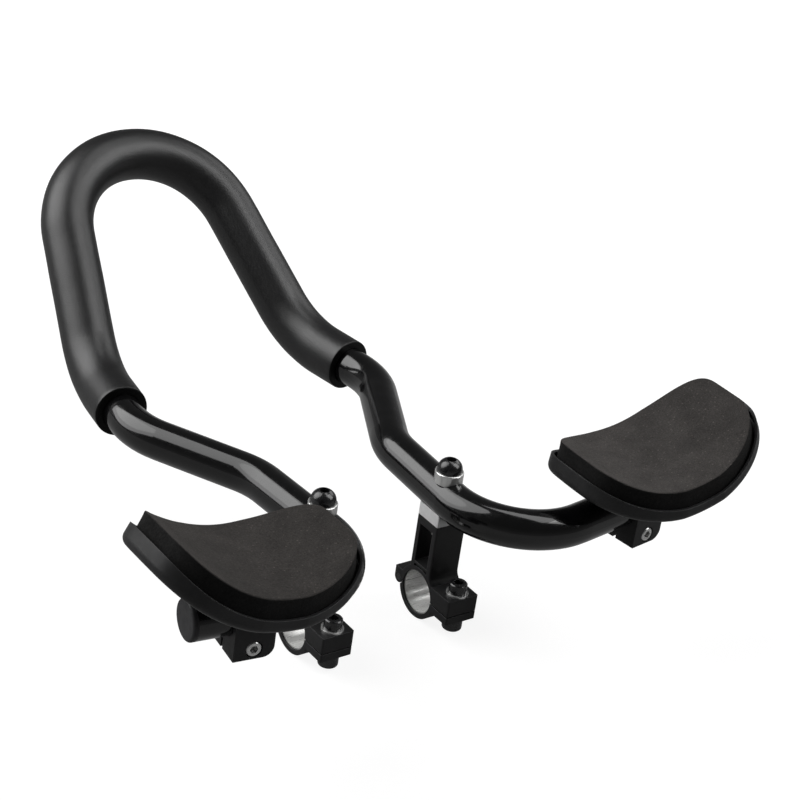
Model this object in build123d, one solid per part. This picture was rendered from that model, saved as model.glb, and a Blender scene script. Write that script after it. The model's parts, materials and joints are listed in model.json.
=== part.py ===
from build123d import *
import os
from math import cos, radians, sin, sqrt, tan

# Clip-on aero handlebar extension, in millimetres.
# One bent tube carries a foam-covered hand loop in front and two armrests behind.
# Two bolted clamps hold it on the handlebar.
# X points to the rider's right, Y forwards, Z up.
# The origin lies on the handlebar's axis, midway between the two clamps.

# Tube
tube_od = 22.2
tube_wall = 2.0
tube_height = 60.0          # tube axis above the handlebar axis
loop_half = 48.0            # corners of the bent tube, right half
loop_reach = 295.0
loop_rise = 40.0            # degrees the hand loop is bent up
loop_bend = 55.0
foot_half = 70.5            # where the loop's leg meets the flat part
foot_reach = 192.0
foot_bend = 60.0
elbow_half = 80.8
elbow_reach = 125.0
elbow_bend = 48.0
run_front_half = 45.0       # the run that lies over the clamp
run_front_reach = 57.0
run_front_bend = 46.0
run_rear_half = 37.4
run_rear_reach = -60.0
run_rear_bend = 44.8
arm_length = 110.0          # straight corner to tube end, under an armrest
arm_sweep = 7.6             # degrees the arm ends point forwards

# Foam grip and end plugs
foam_od = 31.0
foam_past_foot = 44.5       # foam end, measured from the foot corner
foam_edge = 1.2
plug_flange = 3.0
plug_depth = 14.0
plug_edge = 1.4
plug_groove = 0.5
plug_pitch = 4.0

# Handlebar clamp and riser
bar_d = 23.8
bracket_width = 19.8
liner_wall = 0.8
ring_wall = 2.8
liner_gap = 0.3             # between the two liner halves
liner_inset = 1.0           # liner's end behind the bracket's face
split_gap = 0.8
riser_depth = 18.0
riser_post = 3.4
top_plate = 5.0
web_height = 17.6
web_thickness = 1.6
pocket_floor = 0.4          # the pocket under the web goes this deep into the ring
ear_reach = 28.8
ear_top = 10.0
ear_below = 5.0
ear_bolt_reach = 22.4
pin_d = 3.5
pin_reach = 17.2
lug_r = 3.5
lug_top = 5.8
tongue_width = 8.4
foot_round = 6.0            # hollow between the riser and its rear ear
soft_edge = 0.8

# Fasteners
m6 = 6.0
m6_hole = 6.6
m6_nut_af = 10.0
m6_nut_height = 5.0
m6_head_d = 10.0
m6_head_height = 6.0
m6_socket_af = 5.0
m6_stick_out = 2.0          # bolt's end past its nut
dome_d = 13.8
dome_height = 7.2
dome_round = 6.0
dome_socket_af = 5.0
saddle_washer_d = 16.0
saddle_washer_rise = 4.8    # washer's top above the tube
saddle_washer_skirt = 1.6   # washer's lower edge below the tube's top
saddle_floor = 2.4          # spacer's thickness under the tube
saddle_side = 5.2           # spacer's sides rise this far along the tube
flat_washer_d = 12.4
flat_washer_t = 1.2
barrel_nut_d = 11.2
barrel_nut_height = 7.4
barrel_nut_wall = 1.5
barrel_nut_round = 1.4
m5 = 5.0
m5_hole = 5.5
m5_nut_af = 8.0
m5_nut_height = 4.0
m5_head_d = 8.5
m5_head_height = 5.0
m5_socket_af = 4.0
socket_depth = 3.0
screw_edge = 0.6
head_gap = 0.4              # radial, round a head in its counterbore

# Armrests
trough_r = 82.8             # curve of the pad's top across the forearm
pad_half = 55.6             # half the pad's width along that curve
pad_front = 26.3
pad_nose = 23.5             # depth of the rounded front
pad_fullness = 2.7          # front outline: 2 is an ellipse, more is squarer
pad_rear = -46.6
pad_waist = -15.6           # the rounded rear starts here
pad_thickness = 13.5
pad_gap = 1.4               # between the pad's side and the cup's lip
pad_rise = 35.7             # pad's top above the tube axis, at its middle
wall_lean = 0.5             # the sides lean by this share of the curve's slope
patch_thickness = 0.9
patch_inset = 14.0
cup_floor = 3.8
cup_lip = 4.4               # lip's height above the floor
cup_lip_width = 1.7
lip_curve = 86.0            # tighter than the floor, so the lip rises at the ends
cup_round = 5.0             # round of the cup's lower edge
cup_cant = 11.4             # degrees the outer edge is raised
left_pad_offset = 7.8       # pad's middle outboard of its clamp
right_pad_offset = 2.1
left_clamp_inset = 29.2     # clamp's middle, back from the tube's end
right_clamp_inset = 9.3
clamp_width = 22.0
clamp_half_depth = 13.8
clamp_slit = 2.0
clamp_below = 20.0
clamp_round = 6.0           # round lower corner on one side
pinch_drop = 14.5           # pinch screw below the tube axis

# Clearances
push_fit = 0.05             # radial, between parts that are pushed or bolted together
turn_fit = 0.05             # radial, between an armrest and its arm
side_gap = 0.3

tube_r = tube_od / 2
riser_top = tube_height - tube_r - saddle_floor
through = 3 * ear_reach     # length of a cut that goes right through a bracket
clamp_bore_r = bar_d / 2 + liner_wall + push_fit
ring_r = clamp_bore_r + ring_wall
floor_r = trough_r + pad_thickness + patch_thickness + 2 * push_fit


def mirrored(point):
    return Vector(-point.X, point.Y, point.Z)


# Corners of the right half, from the middle of the loop to the arm's end
loop_height = tube_height + (loop_reach - foot_reach) * tan(radians(loop_rise))
loop_corner = Vector(loop_half, loop_reach, loop_height)
foot = Vector(foot_half, foot_reach, tube_height)
elbow = Vector(elbow_half, elbow_reach, tube_height)
run_front = Vector(run_front_half, run_front_reach, tube_height)
run_rear = Vector(run_rear_half, run_rear_reach, tube_height)
arm_direction = Vector(cos(radians(arm_sweep)), sin(radians(arm_sweep)), 0)
arm_end = run_rear + arm_direction * arm_length
foam_end = foot + (elbow - foot).normalized() * foam_past_foot


def bent_path(right_half, bends):
    """Mirror a half path, then round each corner to its bend radius."""
    corners = right_half + [mirrored(corner) for corner in reversed(right_half)]
    radii = bends + bends[::-1]
    edges = []
    start = corners[0]
    for before, corner, after, radius in zip(corners, corners[1:], corners[2:], radii):
        back = (before - corner).normalized()
        ahead = (after - corner).normalized()
        half_angle = radians(back.get_angle(ahead)) / 2
        reach = radius / tan(half_angle)
        middle = corner + (back + ahead).normalized() * (radius / sin(half_angle) - radius)
        edges.append(Edge.make_line(start, corner + back * reach))
        edges.append(Edge.make_three_point_arc(corner + back * reach, middle, corner + ahead * reach))
        start = corner + ahead * reach
    edges.append(Edge.make_line(start, corners[-1]))
    return Wire(edges)


def swept_rod(path, radius):
    return sweep(Plane(origin=path @ 0, z_dir=path % 0) * Circle(radius), path)


# Each bracket stands where its run of tube crosses over the handlebar
run_lean = (run_front_half - run_rear_half) / (run_front_reach - run_rear_reach)
bracket_half = run_rear_half - run_rear_reach * run_lean


def on_both_brackets(shape):
    """The same piece on the right and on the left clamp."""
    return [Pos(side * bracket_half, 0, 0) * shape for side in (1, -1)]


def hexagon(across_flats, height):
    """Hexagonal prism standing on the origin."""
    return extrude(RegularPolygon(across_flats / 2, 6, major_radius=False), height)


def socket_screw(shank_d, length, head_d, head_height, socket_af):
    """Socket head screw: head standing on the origin, shank pointing down."""
    head = Pos(0, 0, head_height / 2) * Cylinder(head_d / 2, head_height)
    head = chamfer(head.edges().group_by(Axis.Z)[-1], screw_edge)
    shank = Pos(0, 0, -length / 2) * Cylinder(shank_d / 2, length)
    shank = chamfer(shank.edges().group_by(Axis.Z)[0], screw_edge)
    return head + shank - Pos(0, 0, head_height - socket_depth) * hexagon(socket_af, socket_depth)


def hex_nut(across_flats, height, shank_d):
    return hexagon(across_flats, height) - Cylinder(shank_d / 2 + push_fit, 3 * height)


# Bent tube with a bolt hole over each clamp
tube_path = bent_path(
    [arm_end, run_rear, run_front, elbow, foot, loop_corner],
    [run_rear_bend, run_front_bend, elbow_bend, foot_bend, loop_bend],
)
extension_tube = swept_rod(tube_path, tube_r) - swept_rod(tube_path, tube_r - tube_wall)
tube_seat = swept_rod(tube_path, tube_r + push_fit)
for hole in on_both_brackets(Pos(0, 0, tube_height) * Cylinder(m6_hole / 2, 2 * tube_od)):
    extension_tube -= hole

# Foam over the loop, its legs and the bends below them
foam_path = bent_path([foam_end, foot, loop_corner], [foot_bend, loop_bend])
foam_grip = swept_rod(foam_path, foam_od / 2) - swept_rod(foam_path, tube_r + push_fit)
foam_ends = [foam_path @ 0, foam_path @ 1]
foam_rims = []
for rim in foam_grip.edges().filter_by(GeomType.CIRCLE):
    at_end = min((rim.arc_center - end).length for end in foam_ends) < foam_edge
    if at_end and rim.radius > tube_r + foam_edge:
        foam_rims.append(rim)
foam_grip = fillet(foam_rims, foam_edge)


def end_plug():
    """Plug pushed into the tube's end: flange outside, grooved stem inside, pointing up."""
    flange = Pos(0, 0, plug_flange / 2) * Cylinder(tube_r, plug_flange)
    flange = fillet(flange.edges().group_by(Axis.Z)[-1], plug_edge)
    stem_r = tube_r - tube_wall - push_fit
    plug = flange + Pos(0, 0, -plug_depth / 2) * Cylinder(stem_r, plug_depth)
    groove = Cylinder(tube_r, plug_pitch / 2) - Cylinder(stem_r - plug_groove, plug_pitch / 2)
    for level in range(int(plug_depth / plug_pitch)):
        plug -= Pos(0, 0, -plug_pitch * (level + 1)) * groove
    return plug


right_end_plug = Plane(origin=arm_end, z_dir=arm_direction) * end_plug()
left_end_plug = mirror(right_end_plug, about=Plane.YZ)


def side_profile(*rectangles):
    """Sum of rectangles given as rear, front, bottom and top in the side view."""
    total = Sketch()
    for rear, front, bottom, top in rectangles:
        centre = Pos((rear + front) / 2, (bottom + top) / 2)
        total += centre * Rectangle(front - rear, top - bottom)
    return total


def across(profile, width):
    """Give a side-view profile its width across the bracket."""
    return extrude(Plane.YZ * profile, width / 2, both=True)


def hinge_zone(radius, width):
    return Pos(0, pin_reach, 0) * Rot(0, 90, 0) * Cylinder(radius, width)


def riser_bracket():
    """Upper half of the clamp with its rear ear, hinge lugs and windowed riser."""
    half_gap = split_gap / 2
    profile = Circle(ring_r) + side_profile(
        (-riser_depth / 2, riser_depth / 2, 0, riser_top),
        (-ear_reach, 0, half_gap, ear_top),
        (0, pin_reach + lug_r, half_gap, lug_top),
    )
    riser_rear = profile.vertices().filter_by(lambda v: abs(v.X + riser_depth / 2) < push_fit)
    profile = fillet(riser_rear.sort_by(Axis.Y)[0], foot_round)
    profile -= Circle(clamp_bore_r) + side_profile((-through, through, -through, half_gap))
    body = across(profile, bracket_width)
    upright = body.edges().filter_by(Axis.Z).filter_by(lambda e: e.center().Z > ring_r)
    body = fillet(upright, soft_edge)
    ear_corners = body.edges().filter_by(Axis.Z).filter_by(lambda e: e.center().Y < soft_edge - ear_reach)
    body = fillet(ear_corners, soft_edge)
    # knuckles outside, room for the cap's tongue between them
    lug_width = (bracket_width - tongue_width) / 2 - side_gap
    for side in (1, -1):
        body += Pos(side * (bracket_width - lug_width) / 2, 0, 0) * hinge_zone(lug_r, lug_width)
    body -= hinge_zone(lug_r + side_gap, tongue_width + 2 * side_gap)
    body -= hinge_zone(pin_d / 2 + push_fit, 2 * bracket_width)
    # window for the nut, and a small pocket under its floor
    window_depth = riser_depth - 2 * riser_post
    window = side_profile((-window_depth / 2, window_depth / 2, web_height, riser_top - top_plate))
    pocket = side_profile((-window_depth / 2, window_depth / 2, 0, web_height - web_thickness))
    pocket -= Circle(ring_r - pocket_floor)
    body -= across(window + pocket, 2 * bracket_width)
    body -= Pos(0, 0, riser_top) * Cylinder(m6_hole / 2, 3 * top_plate)
    return body - Pos(0, -ear_bolt_reach, 0) * Cylinder(m6_hole / 2, through)


def clamp_cap():
    """Lower half of the clamp with its rear ear and hinge tongue."""
    half_gap = split_gap / 2
    profile = Circle(ring_r) + side_profile((-ear_reach, 0, -ear_below, -half_gap))
    profile -= Circle(clamp_bore_r) + side_profile((-through, through, -half_gap, through))
    body = across(profile, bracket_width)
    ear_corners = body.edges().filter_by(Axis.Z).filter_by(lambda e: e.center().Y < soft_edge - ear_reach)
    body = fillet(ear_corners, soft_edge)
    # the bracket's knuckles pass beside the tongue
    tongue = hinge_zone(lug_r, tongue_width)
    tongue += Pos(0, (clamp_bore_r + pin_reach) / 2 + ring_wall / 2, -lug_r / 2 - half_gap / 2) * Box(
        tongue_width, pin_reach - clamp_bore_r - ring_wall / 2, lug_r - half_gap
    )
    body -= hinge_zone(lug_r + side_gap, 2 * bracket_width)
    body += tongue
    body -= hinge_zone(pin_d / 2 + push_fit, 2 * bracket_width)
    body -= Rot(0, 90, 0) * Cylinder(clamp_bore_r, 2 * bracket_width)
    return body - Pos(0, -ear_bolt_reach, 0) * Cylinder(m6_hole / 2, through)


right_riser_bracket, left_riser_bracket = on_both_brackets(riser_bracket())
right_clamp_cap, left_clamp_cap = on_both_brackets(clamp_cap())

# Bright liner halves that bring the clamp down to the bar's size
liner = Circle(bar_d / 2 + liner_wall) - Circle(bar_d / 2)
liner_width = bracket_width - 2 * liner_inset
upper_liner = across(liner - side_profile((-through, through, -through, liner_gap / 2)), liner_width)
lower_liner = across(liner - side_profile((-through, through, -liner_gap / 2, through)), liner_width)

# Hinge pins
hinge_pin = hinge_zone(pin_d / 2, bracket_width)


def saddle_spacer(side):
    """Block hollowed to the tube on top, flat on the riser."""
    top = tube_height - tube_r + saddle_side
    block = Box(bracket_width, riser_depth, top - riser_top)
    block = fillet(block.edges().filter_by(Axis.Z), soft_edge)
    block = Pos(side * bracket_half, 0, (top + riser_top) / 2) * block - tube_seat
    return block - Pos(side * bracket_half, 0, tube_height) * Cylinder(m6_hole / 2, through)


def saddle_washer(side):
    """Round washer hollowed to the tube underneath."""
    height = tube_r + saddle_washer_rise
    washer = Cylinder(saddle_washer_d / 2, height)
    washer = fillet(washer.edges().group_by(Axis.Z)[-1], soft_edge)
    washer = Pos(side * bracket_half, 0, tube_height + height / 2) * washer - tube_seat
    below = 2 * (tube_r - saddle_washer_skirt)
    washer -= Pos(side * bracket_half, 0, tube_height) * Box(tube_od, tube_od, below)
    return washer - Pos(side * bracket_half, 0, tube_height) * Cylinder(m6_hole / 2, through)


right_saddle_spacer, left_saddle_spacer = saddle_spacer(1), saddle_spacer(-1)
saddle_washers = [saddle_washer(1), saddle_washer(-1)]

# Bolt through the tube, spacer and riser top into a nut in the window
dome_seat = tube_height + tube_r + saddle_washer_rise
nut_seat = riser_top - top_plate
dome = Pos(0, 0, dome_height / 2) * Cylinder(dome_d / 2, dome_height)
dome = fillet(dome.edges().group_by(Axis.Z)[-1], dome_round)
dome -= Pos(0, 0, dome_height - socket_depth) * hexagon(dome_socket_af, socket_depth)
bar_shank_length = dome_seat - nut_seat + m6_nut_height + m6_stick_out
bar_shank = Pos(0, 0, -bar_shank_length / 2) * Cylinder(m6 / 2, bar_shank_length)
bar_shank = chamfer(bar_shank.edges().group_by(Axis.Z)[0], screw_edge)
bar_bolt = Pos(0, 0, dome_seat) * (dome + bar_shank)
bar_nut = Pos(0, 0, nut_seat - m6_nut_height) * hex_nut(m6_nut_af, m6_nut_height, m6)

# Bolt that closes the rear ears, with its washer and barrel nut
ear_washer = Cylinder(flat_washer_d / 2, flat_washer_t) - Cylinder(m6_hole / 2, 3 * flat_washer_t)
ear_washer = Pos(0, -ear_bolt_reach, ear_top + flat_washer_t / 2) * ear_washer
ear_shank_length = ear_top + flat_washer_t + ear_below + barrel_nut_height - 1.5 * barrel_nut_wall
clamp_bolt = socket_screw(m6, ear_shank_length, m6_head_d, m6_head_height, m6_socket_af)
clamp_bolt = Pos(0, -ear_bolt_reach, ear_top + flat_washer_t) * clamp_bolt
barrel_nut = Pos(0, 0, -barrel_nut_height / 2) * Cylinder(barrel_nut_d / 2, barrel_nut_height)
barrel_nut = fillet(barrel_nut.edges().group_by(Axis.Z)[0], barrel_nut_round)
barrel_nut -= Cylinder(m6 / 2 + push_fit, 2 * (barrel_nut_height - barrel_nut_wall))
barrel_nut = Pos(0, -ear_bolt_reach, -ear_below) * barrel_nut


def trough_drum(radius):
    """Round bar about the trough's axis, which runs along the forearm."""
    return Pos(0, 0, trough_r) * Rot(90, 0, 0) * Cylinder(radius, 4 * pad_half)


def trough_slab(margin, inner_r, outer_r):
    """Slab bent about the forearm, margin beyond the pad's outline, its sides leaning out with the curve."""
    half = pad_half + margin
    front, rear = pad_front + margin, pad_rear - margin
    nose = pad_nose + margin
    bulge = 2 / pad_fullness
    # stations from the full rounded front to the elliptical rear
    stations = []
    for turn in (78, 66, 54, 36, 18, 0):
        along = front - nose + nose * sin(radians(turn)) ** bulge
        stations.append((along, half * cos(radians(turn)) ** bulge))
    for turn in (0, 12, 24, 36, 48, 60, 70, 78):
        along = pad_waist + (rear - pad_waist) * sin(radians(turn))
        stations.append((along, half * cos(radians(turn))))
    # each section is a wedge through the edge of the pad's top
    top, bottom = trough_r / 2, -trough_r / 2
    sections = []
    for station, half_width in stations:
        slope = half_width / trough_r
        edge = Vector(trough_r * sin(slope), station, trough_r * (1 - cos(slope)))
        lean = tan(wall_lean * slope)
        inner, outer = edge.X + (edge.Z - top) * lean, edge.X + (edge.Z - bottom) * lean
        corners = [(-inner, top), (inner, top), (outer, bottom), (-outer, bottom)]
        sections.append(Wire.make_polygon([Vector(x, station, z) for x, z in corners]))
    return Solid.make_loft(sections) & (trough_drum(outer_r) - trough_drum(inner_r))


def cup_frame(offset):
    """Middle of the pad's top: canted, and turned back to point straight ahead."""
    return Pos(offset, 0, pad_rise) * Rot(0, 0, -arm_sweep) * Rot(0, -cup_cant, 0)


def from_trough_axis(point):
    """Distance of a point in the cup's frame from the trough's axis."""
    return sqrt(point.X**2 + (point.Z - trough_r) ** 2)


def dish():
    """Trough-shaped dish with a lip round the pad, rounded below."""
    under_r = floor_r + cup_floor
    shell = trough_slab(pad_gap + cup_lip_width, floor_r - 2 * cup_lip, under_r)
    lower_rim = shell.edges().filter_by(lambda e: abs(from_trough_axis(e @ 0.5) - under_r) < push_fit)
    shell = fillet(lower_rim, cup_round)
    lip_drum = Rot(90, 0, 0) * Cylinder(lip_curve, 4 * pad_half)
    shell -= Pos(0, 0, trough_r - floor_r + cup_lip + lip_curve) * lip_drum
    return shell - trough_slab(pad_gap, trough_r / 2, floor_r)


def armrest_cup(offset, round_side):
    """Dish with the pinch clamp for the arm; round_side is 1 outboard, -1 inboard."""
    frame = cup_frame(offset)
    # pinch clamp as seen from behind, its top ending inside the dish's floor
    profile = Pos(0, (pad_rise - clamp_below) / 2) * Rectangle(clamp_width, pad_rise + clamp_below)
    lower_corners = profile.vertices().group_by(Axis.Y)[0].sort_by(Axis.X)
    profile = fillet(lower_corners[-1 if round_side > 0 else 0], clamp_round)
    clamp = extrude(Plane.XZ * profile, clamp_half_depth, both=True)
    clamp -= frame * trough_drum(floor_r + cup_floor / 2)
    cup = frame * dish() + clamp
    cup -= Rot(0, 90, 0) * Cylinder(tube_r + turn_fit, 2 * clamp_width)
    cup -= Pos(0, 0, -clamp_below) * Box(2 * clamp_width, clamp_slit, 2 * clamp_below)
    cup -= Pos(0, 0, -pinch_drop) * Rot(90, 0, 0) * Cylinder(m5_hole / 2, 4 * clamp_half_depth)
    counterbore = Rot(90, 0, 0) * Cylinder(m5_head_d / 2 + head_gap, 2 * m5_head_height)
    cup -= Pos(0, -clamp_half_depth, -pinch_drop) * counterbore
    nut_pocket = Rot(-90, 0, 0) * hexagon(m5_nut_af + 2 * push_fit, 2 * m5_nut_height)
    return cup - Pos(0, clamp_half_depth - m5_nut_height, -pinch_drop) * nut_pocket


def armrest(offset, round_side):
    """Pieces of one armrest, with the arm along X through the origin."""
    patch_r = trough_r + pad_thickness + push_fit
    pinch_length = 2 * clamp_half_depth - m5_head_height - screw_edge
    pinch_screw = Rot(90, 0, 0) * socket_screw(m5, pinch_length, m5_head_d, m5_head_height, m5_socket_af)
    pinch_nut = Rot(-90, 0, 0) * hex_nut(m5_nut_af, m5_nut_height, m5)
    return {
        "armrest_cup": armrest_cup(offset, round_side),
        "armrest_pad": cup_frame(offset) * trough_slab(0, trough_r, trough_r + pad_thickness),
        "pad_patch": cup_frame(offset) * trough_slab(-patch_inset, patch_r, patch_r + patch_thickness),
        "pinch_screw": Pos(0, m5_head_height - clamp_half_depth, -pinch_drop) * pinch_screw,
        "pinch_nut": Pos(0, clamp_half_depth - m5_nut_height, -pinch_drop) * pinch_nut,
    }


def on_right_arm(shape):
    return Pos(arm_end - arm_direction * right_clamp_inset) * Rot(0, 0, arm_sweep) * shape


def on_left_arm(shape):
    clamp_middle = mirrored(arm_end - arm_direction * left_clamp_inset)
    return Pos(clamp_middle) * Rot(0, 0, -arm_sweep) * mirror(shape, about=Plane.YZ)


parts = {
    "extension_tube": extension_tube,
    "foam_grip": foam_grip,
    "left_end_plug": left_end_plug,
    "right_end_plug": right_end_plug,
    "left_riser_bracket": left_riser_bracket,
    "right_riser_bracket": right_riser_bracket,
    "left_clamp_cap": left_clamp_cap,
    "right_clamp_cap": right_clamp_cap,
    "upper_liners": on_both_brackets(upper_liner),
    "lower_liners": on_both_brackets(lower_liner),
    "hinge_pins": on_both_brackets(hinge_pin),
    "left_saddle_spacer": left_saddle_spacer,
    "right_saddle_spacer": right_saddle_spacer,
    "saddle_washers": saddle_washers,
    "bar_bolts": on_both_brackets(bar_bolt),
    "bar_nuts": on_both_brackets(bar_nut),
    "clamp_bolts": on_both_brackets(clamp_bolt),
    "clamp_washers": on_both_brackets(ear_washer),
    "clamp_nuts": on_both_brackets(barrel_nut),
}
for name, shape in armrest(left_pad_offset, -1).items():
    parts["left_" + name] = on_left_arm(shape)
for name, shape in armrest(right_pad_offset, 1).items():
    parts["right_" + name] = on_right_arm(shape)

os.makedirs("parts", exist_ok=True)
for name, shape in parts.items():
    piece = Compound(children=shape) if isinstance(shape, list) else shape
    export_step(piece, f"parts/{name}.step")
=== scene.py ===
import json
from math import cos, pi, radians, sin, sqrt, tan

import bpy
from mathutils import Matrix, Quaternion, Vector, noise


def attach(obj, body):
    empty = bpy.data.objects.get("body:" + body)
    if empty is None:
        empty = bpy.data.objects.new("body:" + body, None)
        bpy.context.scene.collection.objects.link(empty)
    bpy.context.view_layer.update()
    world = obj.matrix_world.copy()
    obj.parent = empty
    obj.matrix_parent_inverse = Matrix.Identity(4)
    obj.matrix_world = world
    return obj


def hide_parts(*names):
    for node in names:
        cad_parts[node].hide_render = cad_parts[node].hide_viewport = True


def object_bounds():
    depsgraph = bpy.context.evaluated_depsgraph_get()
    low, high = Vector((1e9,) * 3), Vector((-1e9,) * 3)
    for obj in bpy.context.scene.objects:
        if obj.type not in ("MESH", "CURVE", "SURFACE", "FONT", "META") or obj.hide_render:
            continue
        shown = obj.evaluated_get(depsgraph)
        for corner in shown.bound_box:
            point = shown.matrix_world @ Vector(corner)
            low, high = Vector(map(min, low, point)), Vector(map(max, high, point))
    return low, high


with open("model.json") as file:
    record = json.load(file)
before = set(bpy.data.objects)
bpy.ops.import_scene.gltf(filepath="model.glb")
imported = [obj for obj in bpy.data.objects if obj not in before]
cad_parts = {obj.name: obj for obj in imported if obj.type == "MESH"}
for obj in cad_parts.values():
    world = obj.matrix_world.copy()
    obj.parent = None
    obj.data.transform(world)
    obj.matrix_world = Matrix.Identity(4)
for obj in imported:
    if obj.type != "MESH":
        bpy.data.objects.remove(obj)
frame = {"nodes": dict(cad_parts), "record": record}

cad_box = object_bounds()
scene = bpy.context.scene
MM = 0.001

# Sizes of the solids that the soft pieces follow, in millimetres and degrees,
# under their names in the part's source
tube_height = 60
loop_half, loop_reach, loop_rise, loop_bend = 48, 295, 40, 55
foot_half, foot_reach, foot_bend = 70.5, 192, 60
elbow_half, elbow_reach = 80.8, 125
foam_past_foot = 44.5
run_rear_half, run_rear_reach = 37.4, -60
arm_length, arm_sweep = 110, 7.6
trough_r, wall_lean = 82.8, 0.5
pad_half, pad_front, pad_nose, pad_fullness = 55.6, 26.3, 23.5, 2.7
pad_rear, pad_waist = -46.6, -15.6
pad_thickness, pad_rise, cup_cant = 13.5, 35.7, 11.4
left_pad_offset, right_pad_offset = 7.8, 2.1
left_clamp_inset, right_clamp_inset = 29.2, 9.3


# Shader nodes

def add_node(tree, kind, **settings):
    made = tree.nodes.new(kind)
    for name, value in settings.items():
        setattr(made, name, value)
    return made


def map_range(tree, source, start, end, low, high, **settings):
    """Value that goes from low to high as source goes from start to end."""
    made = add_node(tree, "ShaderNodeMapRange", **settings)
    tree.links.new(source, made.inputs["Value"])
    made.inputs["From Min"].default_value = start
    made.inputs["From Max"].default_value = end
    made.inputs["To Min"].default_value = low
    made.inputs["To Max"].default_value = high
    return made.outputs["Result"]


def colour_ramp(tree, source, stops):
    """Colour ramp with (position, colour) stops."""
    made = add_node(tree, "ShaderNodeValToRGB")
    tree.links.new(source, made.inputs["Fac"])
    elements = made.color_ramp.elements
    while len(elements) < len(stops):
        elements.new(0.5)
    for element, (position, colour) in zip(elements, stops):
        element.position = position
        element.color = (*colour, 1)
    return made.outputs["Color"]


def calculate(tree, operation, *terms, clamp=False):
    """Math node; each term is a number or another node's output."""
    made = add_node(tree, "ShaderNodeMath", operation=operation, use_clamp=clamp)
    for socket, term in zip(made.inputs, terms):
        if isinstance(term, float):
            socket.default_value = term
        else:
            tree.links.new(term, socket)
    return made.outputs[0]


def grey(value):
    return (value, value, value)


# Materials

class Surface:
    """A procedural material: Principled shader with textures in object space, in metres."""

    def __init__(self, name, **sockets):
        self.material = bpy.data.materials.new(name)
        self.material.use_nodes = True
        self.tree = self.material.node_tree
        self.shader = self.tree.nodes["Principled BSDF"]
        for socket, value in sockets.items():
            label = socket.replace("_", " ").title().replace("Ior", "IOR")
            self.shader.inputs[label].default_value = value
        self.place = self.node("ShaderNodeTexCoord").outputs["Object"]
        self.normal = None

    def node(self, kind, **settings):
        return add_node(self.tree, kind, **settings)

    def link(self, source, target):
        self.tree.links.new(source, target)

    def stretched(self, scale):
        """Object coordinates multiplied per axis."""
        mapping = self.node("ShaderNodeMapping")
        self.link(self.place, mapping.inputs["Vector"])
        mapping.inputs["Scale"].default_value = scale
        return mapping.outputs["Vector"]

    def noise(self, size, detail=3.0, roughness=0.55, place=None):
        """Noise with features of about the given size in metres."""
        made = self.node("ShaderNodeTexNoise")
        self.link(place or self.place, made.inputs["Vector"])
        made.inputs["Scale"].default_value = 1 / size
        made.inputs["Detail"].default_value = detail
        made.inputs["Roughness"].default_value = roughness
        return made.outputs["Fac"]

    def cells(self, size):
        """Distance to the middle of the nearest cell; cells of about the given size in metres."""
        made = self.node("ShaderNodeTexVoronoi", feature="F1")
        self.link(self.place, made.inputs["Vector"])
        made.inputs["Scale"].default_value = 1 / size
        return made.outputs["Distance"]

    def tones(self, source, dark, light, start=0.3, end=0.75):
        """Colour that goes from dark to light as source goes from start to end."""
        return colour_ramp(self.tree, source, [(start, dark), (end, light)])

    def between(self, source, low, high, start=0.3, end=0.7):
        return map_range(self.tree, source, start, end, low, high)

    def mix(self, factor, first, second, blend="MIX"):
        """Mix of two colours; factor is a number or a node's output."""
        made = self.node("ShaderNodeMix", data_type="RGBA", blend_type=blend)
        if isinstance(factor, float):
            made.inputs["Factor"].default_value = factor
        else:
            self.link(factor, made.inputs["Factor"])
        # the colour sockets share their names with others, so they go by number
        colour_a, colour_b, result = made.inputs[6], made.inputs[7], made.outputs[2]
        self.link(first, colour_a)
        self.link(second, colour_b)
        return result

    def colour(self, source):
        self.link(source, self.shader.inputs["Base Color"])

    def roughness(self, source):
        self.link(source, self.shader.inputs["Roughness"])

    def soften(self, radius):
        """Rounded look of the edges that the solids leave sharp."""
        made = self.node("ShaderNodeBevel", samples=6)
        made.inputs["Radius"].default_value = radius
        self.normal = made.outputs["Normal"]
        self.link(self.normal, self.shader.inputs["Normal"])
        self.link(self.normal, self.shader.inputs["Coat Normal"])

    def edges(self):
        """1 along the softened edges, 0 on the faces: the mask of the painted edge highlight."""
        agreement = self.node("ShaderNodeVectorMath", operation="DOT_PRODUCT")
        self.link(self.normal, agreement.inputs[0])
        self.link(self.node("ShaderNodeNewGeometry").outputs["Normal"], agreement.inputs[1])
        return self.between(agreement.outputs["Value"], 0.0, 1.0, start=0.985, end=0.8)

    def corners(self, reach):
        """Painted shade: dark in sockets and corners, white in the open."""
        made = self.node("ShaderNodeAmbientOcclusion", samples=6)
        made.inputs["Distance"].default_value = reach
        return made.outputs["Color"]

    def bump(self, height, distance, strength, coat=False):
        """Relief on top of the relief so far; coat also bends the reflections of the coat."""
        made = self.node("ShaderNodeBump")
        self.link(height, made.inputs["Height"])
        made.inputs["Distance"].default_value = distance
        made.inputs["Strength"].default_value = strength
        if self.normal:
            self.link(self.normal, made.inputs["Normal"])
        self.normal = made.outputs["Normal"]
        self.link(self.normal, self.shader.inputs["Normal"])
        if coat:
            self.link(self.normal, self.shader.inputs["Coat Normal"])


def gloss_tube():
    """Gloss black lacquer on a drawn tube."""
    s = Surface("tube_black", specular_ior_level=0.25,
                coat_weight=0.9, coat_roughness=0.025, coat_ior=1.5)
    s.colour(s.tones(s.noise(9 * MM), (0.002, 0.002, 0.0022), (0.0045, 0.0045, 0.0048)))
    s.roughness(s.between(s.noise(4 * MM, detail=4), 0.12, 0.24))
    s.bump(s.noise(5 * MM, detail=1), distance=0.02 * MM, strength=0.5, coat=True)
    return s.material


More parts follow.
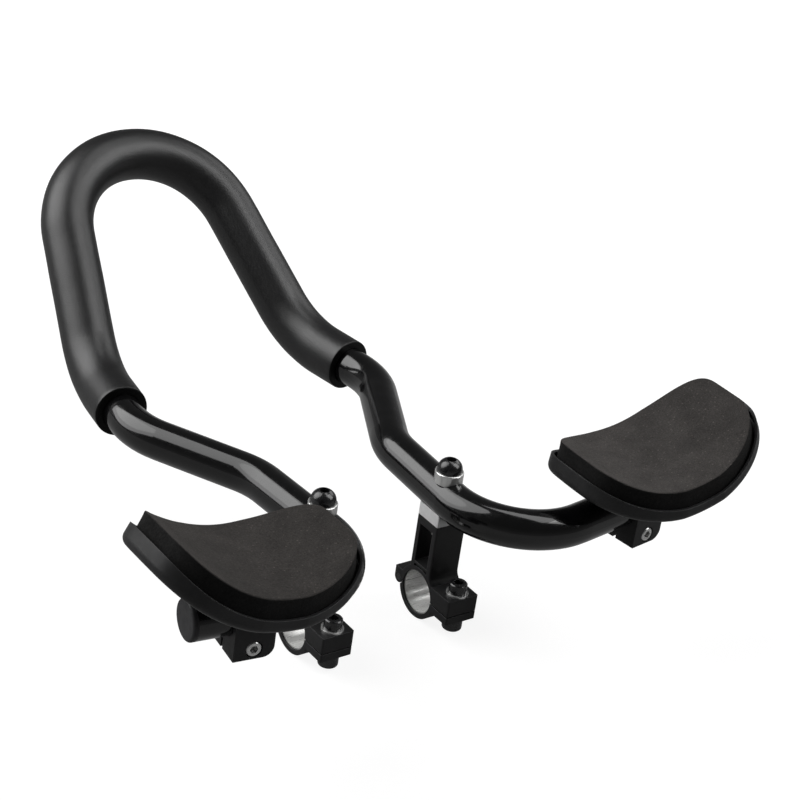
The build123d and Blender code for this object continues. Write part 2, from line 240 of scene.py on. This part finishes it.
def sleeve_foam(name, dark, light, pore, gloss):
    """Closed-cell foam: fine pores and a soft cloudy tone."""
    s = Surface(name, specular_ior_level=gloss)
    cloud = s.tones(s.noise(14 * MM, detail=4), dark, light, 0.3, 0.72)
    speck = s.tones(s.noise(0.5 * MM, detail=2), grey(0.72), grey(1.25), 0.35, 0.68)
    s.colour(s.mix(1.0, cloud, speck, "MULTIPLY"))
    s.roughness(s.between(s.noise(2 * MM), 0.34, 0.41))
    s.bump(s.noise(7 * MM, detail=2), distance=0.25 * MM, strength=0.35)
    s.bump(s.cells(pore), distance=0.10 * MM, strength=0.5)
    s.bump(s.noise(0.35 * MM, detail=2), distance=0.05 * MM, strength=0.5)
    return s.material


def pad_foam(name, dark, light, sheen):
    """Skinned foam of the armrest pads: warm grey with darker and lighter specks."""
    s = Surface(name, specular_ior_level=0.2, sheen_weight=sheen, sheen_roughness=0.45,
                sheen_tint=(0.9, 0.86, 0.83, 1))
    cloud = s.tones(s.noise(16 * MM, detail=5, roughness=0.6), dark, light, 0.32, 0.7)
    grain = colour_ramp(s.tree, s.noise(0.7 * MM, detail=3, roughness=0.7),
                        [(0.3, grey(0.6)), (0.5, grey(1)), (0.72, (1.45, 1.42, 1.4))])
    lint = s.tones(s.cells(2.6 * MM), (1.9, 1.85, 1.8), grey(1), 0.1, 0.2)
    s.colour(s.mix(1.0, s.mix(1.0, cloud, grain, "MULTIPLY"), lint, "MULTIPLY"))
    s.roughness(s.between(s.noise(1.5 * MM), 0.7, 0.92))
    s.bump(s.noise(9 * MM, detail=2), distance=0.2 * MM, strength=0.3)
    s.bump(s.cells(0.9 * MM), distance=0.12 * MM, strength=0.55)
    s.bump(s.noise(0.4 * MM, detail=2), distance=0.06 * MM, strength=0.6)
    return s.material


def moulded_plastic(name, dark, light, rough, edge):
    """Satin moulded plastic or enamel with a fine grain and a painted highlight along its edges."""
    s = Surface(name, specular_ior_level=0.3)
    s.soften(edge)
    face = s.tones(s.noise(11 * MM, detail=4), dark, light)
    # painted highlight: a lighter tone on the softened edges stands in for the light they catch
    painted_edge_highlight = s.tones(s.noise(2 * MM, detail=3), (0.035, 0.035, 0.037), (0.085, 0.085, 0.088), 0.25, 0.7)
    s.colour(s.mix(s.edges(), face, painted_edge_highlight))
    s.roughness(s.between(s.noise(3 * MM, detail=3), rough - 0.05, rough + 0.07))
    s.bump(s.noise(6 * MM, detail=2), distance=0.08 * MM, strength=0.25)
    s.bump(s.noise(0.45 * MM, detail=2), distance=0.02 * MM, strength=0.5)
    return s.material


def bright_metal(name, dark, light, rough, metallic, edge=0.15 * MM, lines=None):
    """Plated or bare metal. lines stretches its tool marks per axis; without them the face is blasted."""
    s = Surface(name, metallic=metallic)
    s.soften(edge)
    tone = s.tones(s.noise(5 * MM, detail=4), dark, light, 0.3, 0.72)
    # painted shade: the metal's tone is darkened in sockets and corners
    s.colour(s.mix(0.75, tone, s.corners(3 * MM), "MULTIPLY"))
    if lines:
        marks = s.noise(0.9 * MM, detail=3, roughness=0.5, place=s.stretched(lines))
        s.roughness(s.between(marks, rough * 0.85, rough * 1.2))
        s.bump(marks, distance=0.02 * MM, strength=0.12)
    else:
        s.roughness(s.between(s.noise(0.4 * MM, detail=3), rough * 0.8, rough * 1.2))
        s.bump(s.noise(0.3 * MM, detail=2), distance=0.03 * MM, strength=0.4)
    return s.material


def gloss_bolt():
    """Gloss black heads."""
    s = Surface("bolt_black", coat_weight=0.6, coat_roughness=0.05)
    s.soften(0.25 * MM)
    s.colour(s.tones(s.noise(3 * MM), (0.005, 0.005, 0.006), (0.011, 0.011, 0.012)))
    s.roughness(s.between(s.noise(1.2 * MM, detail=4), 0.18, 0.34))
    s.bump(s.noise(1.5 * MM, detail=2), distance=0.02 * MM, strength=0.3)
    return s.material


def hook_patch():
    """Hook-and-loop patch under a pad."""
    s = Surface("patch_grey", roughness=0.9, sheen_weight=0.3)
    s.colour(s.tones(s.cells(0.8 * MM), grey(0.02), grey(0.07), 0.1, 0.6))
    s.bump(s.cells(0.8 * MM), distance=0.3 * MM, strength=0.8)
    return s.material


slots = {
    "tube_black": gloss_tube(),
    "plug_black": moulded_plastic(
        "plug_black", (0.032, 0.032, 0.034), (0.048, 0.048, 0.05), rough=0.5, edge=0.5 * MM),
    "bracket_black": moulded_plastic(
        "bracket_black", (0.013, 0.013, 0.0135), (0.022, 0.022, 0.0225), rough=0.38, edge=0.45 * MM),
    "cup_black": moulded_plastic(
        "cup_black", (0.016, 0.016, 0.0165), (0.027, 0.027, 0.0275), rough=0.4, edge=0.5 * MM),
    # only partly metallic, because the surroundings that they mirror are dark
    "liner_bright": bright_metal(
        "liner_bright", (0.68, 0.68, 0.665), (0.8, 0.8, 0.785),
        rough=0.3, metallic=0.45, lines=(0.2, 2.0, 2.0)),
    "spacer_grey": bright_metal(
        "spacer_grey", grey(0.8), grey(0.92), rough=0.42, metallic=0.15, edge=0.3 * MM),
    "steel_bright": bright_metal(
        "steel_bright", (0.84, 0.84, 0.83), (0.95, 0.95, 0.94),
        rough=0.18, metallic=0.7, lines=(1.0, 0.3, 1.0)),
    "bolt_black": gloss_bolt(),
    "patch_grey": hook_patch(),
}
# the foam's slots are left out: their solids are replaced below
for part in frame["record"]["subparts"]:
    if part["material_slot"] in slots:
        mesh = frame["nodes"][part["node"]].data
        mesh.materials.clear()
        mesh.materials.append(slots[part["material_slot"]])


# Soft pieces

def new_piece(name, points, faces, materials, body):
    """A smooth mesh piece; faces are (corner indices, material index)."""
    mesh = bpy.data.meshes.new(name)
    mesh.from_pydata(points, [], [corners for corners, _ in faces])
    for polygon, (_, index) in zip(mesh.polygons, faces):
        polygon.material_index = index
        polygon.use_smooth = True
    for material in materials:
        mesh.materials.append(material)
    mesh.update()
    piece = bpy.data.objects.new(name, mesh)
    scene.collection.objects.link(piece)
    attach(piece, body)
    return piece


def join_rings(rings, around, kinds, closed=False):
    """Quads between rings of equal length; a ring's kind is the material index of the quads after it."""
    faces = []
    count = len(rings)
    for ring in range(count if closed else count - 1):
        here, after = ring * around, (ring + 1) % count * around
        for step in range(around):
            other = (step + 1) % around
            faces.append(((here + step, here + other, after + other, after + step), kinds[ring]))
    return faces


def bent_line(corners, radii, step):
    """Points along straight runs joined by round bends, with the bend's inward direction and strength."""
    line = []

    def run(start, end):
        count = max(2, round((end - start).length / step))
        for i in range(count):
            line.append((start.lerp(end, i / count), Vector(), 0.0))

    start = corners[0]
    for before, corner, after, radius in zip(corners, corners[1:], corners[2:], radii):
        back, ahead = (before - corner).normalized(), (after - corner).normalized()
        half = back.angle(ahead) / 2
        reach = radius / tan(half)
        inward = (back + ahead).normalized()
        centre = corner + inward * (radius / sin(half))
        run(start, corner + back * reach)
        first = corner + back * reach - centre
        turn = pi - 2 * half
        axis = first.cross(corner + ahead * reach - centre).normalized()
        count = max(4, round(turn * radius / step))
        for i in range(count):
            arm = Quaternion(axis, turn * i / count) @ first
            line.append((centre + arm, -arm.normalized(), sin(pi * i / count)))
        start = corner + ahead * reach
    run(start, corners[-1])
    line.append((corners[-1], Vector(), 0.0))
    return line


def foam_grip():
    """Foam sleeve pushed over the hand loop: fuller inside the bends, thinner outside, cut at its ends."""
    skin, cut = 0, 1                            # material indices
    outer, inner, rim = 15.5 * MM, 11.16 * MM, 0.9 * MM
    cut_radii = (14.0, 13.0, 12.2, 11.5)        # rings on the cut ends, in millimetres
    rim_turns = [radians(a) for a in (0, 30, 60, 90)]
    around, ring_spacing, bore_step = 72, 3.2 * MM, 3
    bend_swell, lump_height, lumps_per_metre = 0.35 * MM, 0.16 * MM, 45
    skin_inset = 0.1 * MM                       # keeps the lumps within the solid

    loop_top = tube_height + (loop_reach - foot_reach) * tan(radians(loop_rise))
    loop = Vector((loop_half, loop_reach, loop_top)) * MM
    foot = Vector((foot_half, foot_reach, tube_height)) * MM
    elbow = Vector((elbow_half, elbow_reach, tube_height)) * MM
    end = foot + (elbow - foot).normalized() * (foam_past_foot * MM)
    half = [end, foot, loop]
    corners = half + [Vector((-p.x, p.y, p.z)) for p in reversed(half)]
    bends = [foot_bend * MM, loop_bend * MM, loop_bend * MM, foot_bend * MM]
    line = bent_line(corners, bends, ring_spacing)

    # a frame carried along the line without twist
    stations = []
    side = Vector((0, 0, 1))
    for i, (point, inward, strength) in enumerate(line):
        ahead = line[min(i + 1, len(line) - 1)][0] - line[max(i - 1, 0)][0]
        ahead.normalize()
        side = (side - ahead * side.dot(ahead)).normalized()
        stations.append((point, ahead, side, ahead.cross(side), inward, strength))

    rings, kinds = [], []

    def add(station, radius, kind, along=0.0, shaped=True):
        point, ahead, first, second, inward, strength = station
        made = []
        for step in range(around):
            angle = 2 * pi * step / around
            out = first * cos(angle) + second * sin(angle)
            swell = 0.0
            if shaped:
                swell = bend_swell * strength * out.dot(inward)
                swell += lump_height * noise.noise((point + out * radius) * lumps_per_metre) - skin_inset
            made.append(point + ahead * along + out * (radius + swell))
        rings.append(made)
        kinds.append(kind)

    def add_rim(station, turn, kind, inwards):
        add(station, outer - rim * (1 - cos(turn)), kind, inwards * rim * (1 - sin(turn)))

    # the outside from end to end, its rounded rims mostly cut face, then back through the bore
    for turn, kind in zip(reversed(rim_turns), (cut, cut, skin, skin)):
        add_rim(stations[0], turn, kind, 1)
    for station in stations[1:-1]:
        add(station, outer, skin)
    for turn, kind in zip(rim_turns, (skin, cut, cut, cut)):
        add_rim(stations[-1], turn, kind, -1)
    for radius in cut_radii:
        add(stations[-1], radius * MM, cut, shaped=False)
    for station in reversed(stations[::bore_step]):
        add(station, inner, cut, shaped=False)
    for radius in reversed(cut_radii):
        add(stations[0], radius * MM, cut, shaped=False)

    materials = [
        sleeve_foam("foam_charcoal", (0.004, 0.004, 0.0043), (0.008, 0.008, 0.0085),
                    pore=0.8 * MM, gloss=0.72),
        sleeve_foam("foam_cut", grey(0.002), grey(0.005), pore=0.6 * MM, gloss=0.15),
    ]
    points = [p for ring in rings for p in ring]
    faces = join_rings(rings, around, kinds, closed=True)
    piece = new_piece("foam_sleeve", points, faces, materials, "bar")
    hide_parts("foam_grip")


def pad_outline(count):
    """Evenly spaced outline of the pad, laid flat: full rounded front, straight sides, rounded rear."""
    bulge = 2 / pad_fullness
    last_turn, turn_step = 78, 3                # degrees; straight across beyond the last turn
    tiny = 1e-9
    right = []
    for turn in range(last_turn, -1, -turn_step):
        along = pad_front - pad_nose + pad_nose * sin(radians(turn)) ** bulge
        right.append((pad_half * cos(radians(turn)) ** bulge, along))
    for turn in range(0, last_turn + 1, turn_step):
        along = pad_waist + (pad_rear - pad_waist) * sin(radians(turn))
        right.append((pad_half * cos(radians(turn)), along))
    outline = right + [(-x, y) for x, y in reversed(right)]
    points = [Vector(p) for p in outline if p != (pad_half, pad_waist)]
    lengths = [(points[(i + 1) % len(points)] - p).length for i, p in enumerate(points)]
    spacing = sum(lengths) / count
    made, travelled, index = [], 0.0, 0
    for i in range(count):
        while travelled + lengths[index] < i * spacing - tiny:
            travelled += lengths[index]
            index += 1
        part = (i * spacing - travelled) / lengths[index]
        made.append(points[index].lerp(points[(index + 1) % len(points)], part))
    return made


def armrest_pad(side, clamp_inset, offset, materials):
    """Foam pad lying in its cup: soft upper edge, slightly hollow cut sides, a little uneven on top."""
    name = "right" if side > 0 else "left"
    top, wall = 0, 1                            # material indices
    around, top_rings, wall_rings = 150, 16, 9
    under_rings = (12, 8, 4, 1)                 # of as many as the top has
    upper_edge, lower_edge, wall_hollow = 0.8, 0.6, 0.35
    lump_height, lumps_per_mm = 0.18, 0.07
    lump_pattern = 7 * side                     # not the same on both pads
    middle = Vector((0, -9))                    # the rings of the top close in on it

    outline = pad_outline(around)
    normals = []
    for i in range(around):
        along = outline[(i + 1) % around] - outline[i - 1]
        normals.append(Vector((along.y, -along.x)).normalized())
    if (outline[0] - middle).dot(normals[0]) < 0:
        normals = [-n for n in normals]

    sweep = radians(arm_sweep)
    arm = Vector((cos(sweep), sin(sweep), 0))
    clamp = Vector((run_rear_half, run_rear_reach, tube_height)) + arm * (arm_length - clamp_inset)
    seat = Matrix.Translation(clamp) @ Matrix.Rotation(sweep, 4, "Z")
    seat = seat @ Matrix.Translation((offset, 0, pad_rise))
    seat = seat @ Matrix.Rotation(-sweep, 4, "Z") @ Matrix.Rotation(radians(-cup_cant), 4, "Y")

    def placed(flat, depth):
        """A point of the flat outline, depth below the pad's top; the sides lean less than the curve."""
        angle = flat.x / trough_r
        lean = angle * wall_lean
        reach = trough_r * cos(angle - lean)
        down = sqrt(reach**2 + (trough_r + depth) ** 2 - trough_r**2) - reach
        across = trough_r * sin(angle) + down * sin(lean)
        point = seat @ Vector((across, flat.y, trough_r - trough_r * cos(angle) - down * cos(lean)))
        return Vector((side * point.x, point.y, point.z)) * MM

    rings, kinds = [], []

    def add(inset, depth, kind, share=1.0):
        made = []
        for point, normal in zip(outline, normals):
            flat = middle + (point - normal * inset - middle) * share
            lift = 0.0
            if kind == top:
                lift = lump_height * noise.noise(Vector((flat.x, flat.y, lump_pattern)) * lumps_per_mm)
            made.append(placed(flat, depth + lift))
        rings.append(made)
        kinds.append(kind)

    for i in range(1, top_rings + 1):
        add(upper_edge, 0, top, i / top_rings)
    for turn, kind in ((22, top), (45, top), (68, wall), (90, wall)):
        add(upper_edge * (1 - sin(radians(turn))), upper_edge * (1 - cos(radians(turn))), kind)
    for i in range(1, wall_rings):
        depth = upper_edge + (pad_thickness - upper_edge - lower_edge) * i / wall_rings
        add(wall_hollow * sin(pi * depth / pad_thickness), depth, wall)
    for turn in (90, 60, 30, 0):
        depth = pad_thickness - lower_edge * (1 - cos(radians(turn)))
        add(lower_edge * (1 - sin(radians(turn))), depth, wall)
    for i in under_rings:
        add(lower_edge, pad_thickness, wall, i / top_rings)
    faces = join_rings(rings, around, kinds)
    points = [p for ring in rings for p in ring]

    # fans that close the top and the underside
    for ring, kind, depth in ((0, top, 0), (len(rings) - 1, wall, pad_thickness)):
        centre = len(points)
        points.append(placed(middle, depth))
        for step in range(around):
            corners = (ring * around + step, ring * around + (step + 1) % around, centre)
            faces.append((corners if ring else corners[::-1], kind))
    if side < 0:
        faces = [(corners[::-1], kind) for corners, kind in faces]
    piece = new_piece(name + "_pad", points, faces, materials, name + "_armrest")
    smooth = piece.modifiers.new("soft", "SUBSURF")
    smooth.levels = smooth.render_levels = 1
    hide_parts(name + "_armrest_pad")


foam_grip()
pad_side = pad_foam("pad_side", grey(0.004), (0.009, 0.0088, 0.0086), sheen=0.02)
# The two pad tops are one foam: the left top's darker tone is painted shade, the right top keeps the
# lighter one.
left_top_painted_shade = pad_foam("left_pad_top_painted_shade", (0.025, 0.0228, 0.0213), (0.041, 0.0374, 0.035), sheen=0.05)
right_top = pad_foam("right_pad_top", (0.034, 0.0312, 0.0295), (0.056, 0.0515, 0.0488), sheen=0.05)
armrest_pad(-1, left_clamp_inset, left_pad_offset, [left_top_painted_shade, pad_side])
armrest_pad(1, right_clamp_inset, right_pad_offset, [right_top, pad_side])


# Floor, background and lights

def white_share(tree, mirrored):
    """1 for what the camera sees, the share mirrored for gloss and glass, 0 for the light on matte faces.

    The share is small, because the gloss in the photograph mirrors dark surroundings.
    """
    rays = add_node(tree, "ShaderNodeLightPath").outputs
    seen = calculate(tree, "MAXIMUM", rays["Is Glossy Ray"], rays["Is Transmission Ray"])
    return calculate(tree, "MULTIPLY_ADD", seen, mirrored, rays["Is Camera Ray"], clamp=True)


def floor():
    """Plain white floor that keeps a pale shadow near the object."""
    half_size = 12.0
    drop = 0.3 * MM                             # below the lowest solid
    near, far = 0.25, 0.9                       # metres from the origin
    glow_near, glow_far = 0.88, 1.0             # the lamps add the rest near the object
    mirrored = 0.09
    reflectance = 0.22

    mesh = bpy.data.meshes.new("floor")
    corners = [(-half_size, -half_size, 0), (half_size, -half_size, 0),
               (half_size, half_size, 0), (-half_size, half_size, 0)]
    mesh.from_pydata(corners, [], [(0, 1, 2, 3)])
    piece = bpy.data.objects.new("floor", mesh)
    piece.location.z = cad_box[0].z - drop
    scene.collection.objects.link(piece)

    material = bpy.data.materials.new("floor_white")
    material.use_nodes = True
    tree = material.node_tree
    tree.nodes.clear()
    link = tree.links.new
    distance = add_node(tree, "ShaderNodeVectorMath", operation="LENGTH")
    link(add_node(tree, "ShaderNodeTexCoord").outputs["Object"], distance.inputs[0])
    glow = map_range(tree, distance.outputs["Value"], near, far, glow_near, glow_far,
                     interpolation_type="SMOOTHSTEP")
    emission = add_node(tree, "ShaderNodeEmission")
    link(calculate(tree, "MULTIPLY", white_share(tree, mirrored), glow), emission.inputs["Strength"])
    diffuse = add_node(tree, "ShaderNodeBsdfDiffuse")
    diffuse.inputs["Color"].default_value = (*grey(reflectance), 1)
    both = add_node(tree, "ShaderNodeAddShader")
    link(emission.outputs[0], both.inputs[0])
    link(diffuse.outputs[0], both.inputs[1])
    link(both.outputs[0], add_node(tree, "ShaderNodeOutputMaterial").inputs["Surface"])
    mesh.materials.append(material)


def surroundings():
    """White to the camera. As light and in the gloss: dim at the horizon and darker above."""
    levels = [(0.0, 0.12), (0.2, 0.06), (0.45, 0.03), (1.0, 0.03)]     # (height, brightness)
    mirrored = 0.04

    world = bpy.data.worlds.new("studio")
    scene.world = world
    world.use_nodes = True
    tree = world.node_tree
    tree.nodes.clear()
    link = tree.links.new
    split = add_node(tree, "ShaderNodeSeparateXYZ")
    link(add_node(tree, "ShaderNodeTexCoord").outputs["Generated"], split.inputs[0])
    light = add_node(tree, "ShaderNodeBackground")
    stops = [(height, grey(level)) for height, level in levels]
    link(colour_ramp(tree, split.outputs["Z"], stops), light.inputs["Color"])
    white = add_node(tree, "ShaderNodeBackground")
    white.inputs["Color"].default_value = (1, 1, 1, 1)
    pick = add_node(tree, "ShaderNodeMixShader")
    link(white_share(tree, mirrored), pick.inputs["Fac"])
    link(light.outputs[0], pick.inputs[1])
    link(white.outputs[0], pick.inputs[2])
    link(pick.outputs[0], add_node(tree, "ShaderNodeOutputWorld").inputs["Surface"])


def soft_box(name, shape, place, aim, width, height, level, diffuse=True):
    """Area light whose surface shines at the given level; without diffuse it only shows in the gloss."""
    data = bpy.data.lights.new(name, "AREA")
    data.shape = shape
    data.size, data.size_y = width, height
    area = width * height * (pi / 4 if shape == "ELLIPSE" else 1)
    data.energy = level * pi * area
    lamp = bpy.data.objects.new(name, data)
    lamp.location = place
    lamp.rotation_mode = "QUATERNION"
    lamp.rotation_quaternion = (aim - place).to_track_quat("-Z", "Y")
    lamp.visible_camera = False
    lamp.visible_diffuse = diffuse
    scene.collection.objects.link(lamp)


def from_side(turn, rise):
    """Direction turned clockwise from straight ahead, as seen from above, and raised, in degrees."""
    turn, rise = radians(turn), radians(rise)
    return Vector((sin(turn) * cos(rise), cos(turn) * cos(rise), sin(rise)))


floor()
surroundings()
middle = Vector((0, 0.08, 0.06))                # of the object
beside = middle + Vector((0.6, -0.08, 0))       # under the strip above
soft_box("umbrella", "ELLIPSE", middle + 2.5 * from_side(-49, 41), middle,
         width=2.55, height=3.77, level=2.4)
soft_box("umbrella_core", "ELLIPSE", middle + 2.4 * from_side(-43, 39), middle,
         width=1.8, height=1.8, level=1.1)
soft_box("strip_above", "RECTANGLE", beside + Vector((0, 0, 2)), beside,
         width=0.6, height=1.8, level=2.3, diffuse=False)
soft_box("strip_right", "RECTANGLE", middle + 2 * from_side(127, 42), middle,
         width=1.2, height=1.5, level=3.0)
soft_box("fill", "RECTANGLE", middle + 2 * from_side(78, 32), middle,
         width=1.2, height=1.0, level=1.4)


# Camera

def camera():
    """The photograph's viewpoint."""
    data = bpy.data.cameras.new("camera")
    data.sensor_width = 36.0
    data.lens = 98.903
    data.clip_end = 30
    made = bpy.data.objects.new("camera", data)
    made.location = (-0.639064, -0.782023, 0.658498)
    made.rotation_mode = "QUATERNION"
    made.rotation_quaternion = (0.825183, 0.472979, -0.209004, -0.227336)
    scene.collection.objects.link(made)
    scene.camera = made


camera()
scene.view_settings.view_transform = "Standard"
